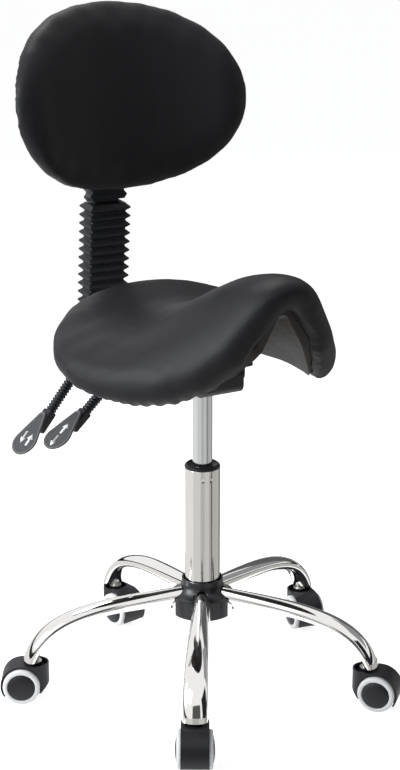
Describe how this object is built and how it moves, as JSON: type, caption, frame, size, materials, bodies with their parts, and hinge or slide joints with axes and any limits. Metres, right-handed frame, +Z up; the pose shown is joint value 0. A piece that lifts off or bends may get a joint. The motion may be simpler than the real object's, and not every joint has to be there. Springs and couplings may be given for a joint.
{
  "type": "saddle stool",
  "caption": "Saddle-shaped stool with a back pad, gas-lift column, two side levers and a five-arm chrome base on twin-wheel casters.",
  "frame": {"origin": "on the column's axis, at floor level", "axes": "+Z up; the sitter faces -Y; +X is towards the sitter's left hand"},
  "size_m": [0.5394, 0.5626, 0.9472],
  "materials": {
    "chrome_base": "polished chrome plate",
    "chrome_column": "polished chrome plate",
    "chrome_spring": "ground and plated",
    "black_cover": "semi-gloss moulded",
    "black_bush": "matt moulded",
    "steel_parts": "plain",
    "black_steel": "satin black",
    "black_rubber": "matt, ribbed",
    "black_plastic": "fine texture",
    "seat_wood": "plain plywood",
    "seat_cover": "soft coated cover, low sheen",
    "back_cover": "soft coated cover, low sheen",
    "caster_black": "semi-gloss moulded",
    "white_tyre": "smooth white tread"
  },
  "bodies": {
    "base": {"leg_1": "chrome_base", "leg_2": "chrome_base", "leg_3": "chrome_base", "leg_4": "chrome_base", "leg_5": "chrome_base", "hub_core": "chrome_base", "hub_cover": "black_cover", "column_tube": "chrome_column", "guide_bush": "black_bush", "thrust_bearing": "steel_parts", "caster_stems": "steel_parts"},
    "spring_rod": {"piston_rod": "steel_parts"},
    "lift": {"gas_spring_tube": "chrome_spring", "mechanism_base": "black_steel"},
    "seat": {"seat_plate": "black_steel", "seat_board": "seat_wood", "seat_pad": "seat_cover", "seat_bolts": "steel_parts"},
    "back_post": {"back_bar": "black_steel", "post_bellows": "black_rubber", "back_sleeve": "black_rubber"},
    "backrest": {"backrest_bracket": "black_steel", "backrest_shell": "black_plastic", "backrest_pad": "back_cover"},
    "lift_handle": {"lift_lever": "black_steel", "lift_lever_bellows": "black_rubber", "lift_paddle": "black_plastic"},
    "tilt_handle": {"tilt_lever": "black_steel", "tilt_lever_bellows": "black_rubber", "tilt_paddle": "black_plastic"},
    "caster_1": {"caster_1_hood": "caster_black", "caster_1_axle": "steel_parts"},
    "caster_1_left_wheel": {"caster_1_wheel_left": "caster_black", "caster_1_tyre_left": "white_tyre"},
    "caster_1_right_wheel": {"caster_1_wheel_right": "caster_black", "caster_1_tyre_right": "white_tyre"},
    "caster_2": {"caster_2_hood": "caster_black", "caster_2_axle": "steel_parts"},
    "caster_2_left_wheel": {"caster_2_wheel_left": "caster_black", "caster_2_tyre_left": "white_tyre"},
    "caster_2_right_wheel": {"caster_2_wheel_right": "caster_black", "caster_2_tyre_right": "white_tyre"},
    "caster_3": {"caster_3_hood": "caster_black", "caster_3_axle": "steel_parts"},
    "caster_3_left_wheel": {"caster_3_wheel_left": "caster_black", "caster_3_tyre_left": "white_tyre"},
    "caster_3_right_wheel": {"caster_3_wheel_right": "caster_black", "caster_3_tyre_right": "white_tyre"},
    "caster_4": {"caster_4_hood": "caster_black", "caster_4_axle": "steel_parts"},
    "caster_4_left_wheel": {"caster_4_wheel_left": "caster_black", "caster_4_tyre_left": "white_tyre"},
    "caster_4_right_wheel": {"caster_4_wheel_right": "caster_black", "caster_4_tyre_right": "white_tyre"},
    "caster_5": {"caster_5_hood": "caster_black", "caster_5_axle": "steel_parts"},
    "caster_5_left_wheel": {"caster_5_wheel_left": "caster_black", "caster_5_tyre_left": "white_tyre"},
    "caster_5_right_wheel": {"caster_5_wheel_right": "caster_black", "caster_5_tyre_right": "white_tyre"}
  },
  "joints": [
    {"name": "caster_1_swivel", "type": "hinge", "parent": "base", "child": "caster_1", "pos_m": [-0.13538, -0.203, 0.045], "axis": [0, 0, 1], "continuous": true},
    {"name": "caster_1_left_spin", "type": "hinge", "parent": "caster_1", "child": "caster_1_left_wheel", "pos_m": [-0.14541, -0.21937, 0.026], "axis": [0.8526, -0.5225, 0], "continuous": true},
    {"name": "caster_1_right_spin", "type": "hinge", "parent": "caster_1", "child": "caster_1_right_wheel", "pos_m": [-0.14541, -0.21937, 0.026], "axis": [0.8526, -0.5225, 0], "continuous": true},
    {"name": "caster_2_swivel", "type": "hinge", "parent": "base", "child": "caster_2", "pos_m": [0.15123, -0.19148, 0.045], "axis": [0, 0, 1], "continuous": true},
    {"name": "caster_2_left_spin", "type": "hinge", "parent": "caster_2", "child": "caster_2_left_wheel", "pos_m": [0.16359, -0.20617, 0.026], "axis": [0.7649, 0.6441, 0], "continuous": true},
    {"name": "caster_2_right_spin", "type": "hinge", "parent": "caster_2", "child": "caster_2_right_wheel", "pos_m": [0.16359, -0.20617, 0.026], "axis": [0.7649, 0.6441, 0], "continuous": true},
    {"name": "caster_3_swivel", "type": "hinge", "parent": "base", "child": "caster_3", "pos_m": [0.22884, 0.08465, 0.045], "axis": [0, 0, 1], "continuous": true},
    {"name": "caster_3_left_spin", "type": "hinge", "parent": "caster_3", "child": "caster_3_left_wheel", "pos_m": [0.22502, 0.06584, 0.026], "axis": [0.9799, -0.1994, 0], "continuous": true},
    {"name": "caster_3_right_spin", "type": "hinge", "parent": "caster_3", "child": "caster_3_right_wheel", "pos_m": [0.22502, 0.06584, 0.026], "axis": [0.9799, -0.1994, 0], "continuous": true},
    {"name": "caster_4_swivel", "type": "hinge", "parent": "base", "child": "caster_4", "pos_m": [-0.00979, 0.2438, 0.045], "axis": [0, 0, 1], "continuous": true},
    {"name": "caster_4_left_spin", "type": "hinge", "parent": "caster_4", "child": "caster_4_left_wheel", "pos_m": [-0.00629, 0.22493, 0.026], "axis": [0.9833, 0.1822, 0], "continuous": true},
    {"name": "caster_4_right_spin", "type": "hinge", "parent": "caster_4", "child": "caster_4_right_wheel", "pos_m": [-0.00629, 0.22493, 0.026], "axis": [0.9833, 0.1822, 0], "continuous": true},
    {"name": "caster_5_swivel", "type": "hinge", "parent": "base", "child": "caster_5", "pos_m": [-0.2349, 0.06603, 0.045], "axis": [0, 0, 1], "continuous": true},
    {"name": "caster_5_left_spin", "type": "hinge", "parent": "caster_5", "child": "caster_5_left_wheel", "pos_m": [-0.25147, 0.07571, 0.026], "axis": [-0.5045, -0.8634, 0], "continuous": true},
    {"name": "caster_5_right_spin", "type": "hinge", "parent": "caster_5", "child": "caster_5_right_wheel", "pos_m": [-0.25147, 0.07571, 0.026], "axis": [-0.5045, -0.8634, 0], "continuous": true},
    {"name": "seat_swivel", "type": "hinge", "parent": "base", "child": "spring_rod", "pos_m": [0, 0, 0.2], "axis": [0, 0, 1], "continuous": true},
    {"name": "seat_height", "type": "slide", "parent": "spring_rod", "child": "lift", "axis": [0, 0, 1], "range_m": [-0.09, 0.045]},
    {"name": "seat_tilt", "type": "hinge", "parent": "lift", "child": "seat", "pos_m": [0, -0.044, 0.465], "axis": [1, 0, 0], "range_deg": [0, 10]},
    {"name": "back_angle", "type": "hinge", "parent": "lift", "child": "back_post", "pos_m": [0, 0.096, 0.455], "axis": [1, 0, 0], "range_deg": [-10, 5]},
    {"name": "backrest_height", "type": "slide", "parent": "back_post", "child": "backrest", "axis": [0, 0.1478, 0.989], "range_m": [0, 0.04]},
    {"name": "lift_lever_pull", "type": "hinge", "parent": "lift", "child": "lift_handle", "pos_m": [-0.03075, 0.069, 0.449], "axis": [0, 1, 0], "range_deg": [0, 6], "stiffness_Nm_per_rad": 2, "springref_deg": -8.59},
    {"name": "tilt_lever_pull", "type": "hinge", "parent": "lift", "child": "tilt_handle", "pos_m": [-0.03075, 0.115, 0.449], "axis": [0, 1, 0], "range_deg": [0, 6]}
  ]
}
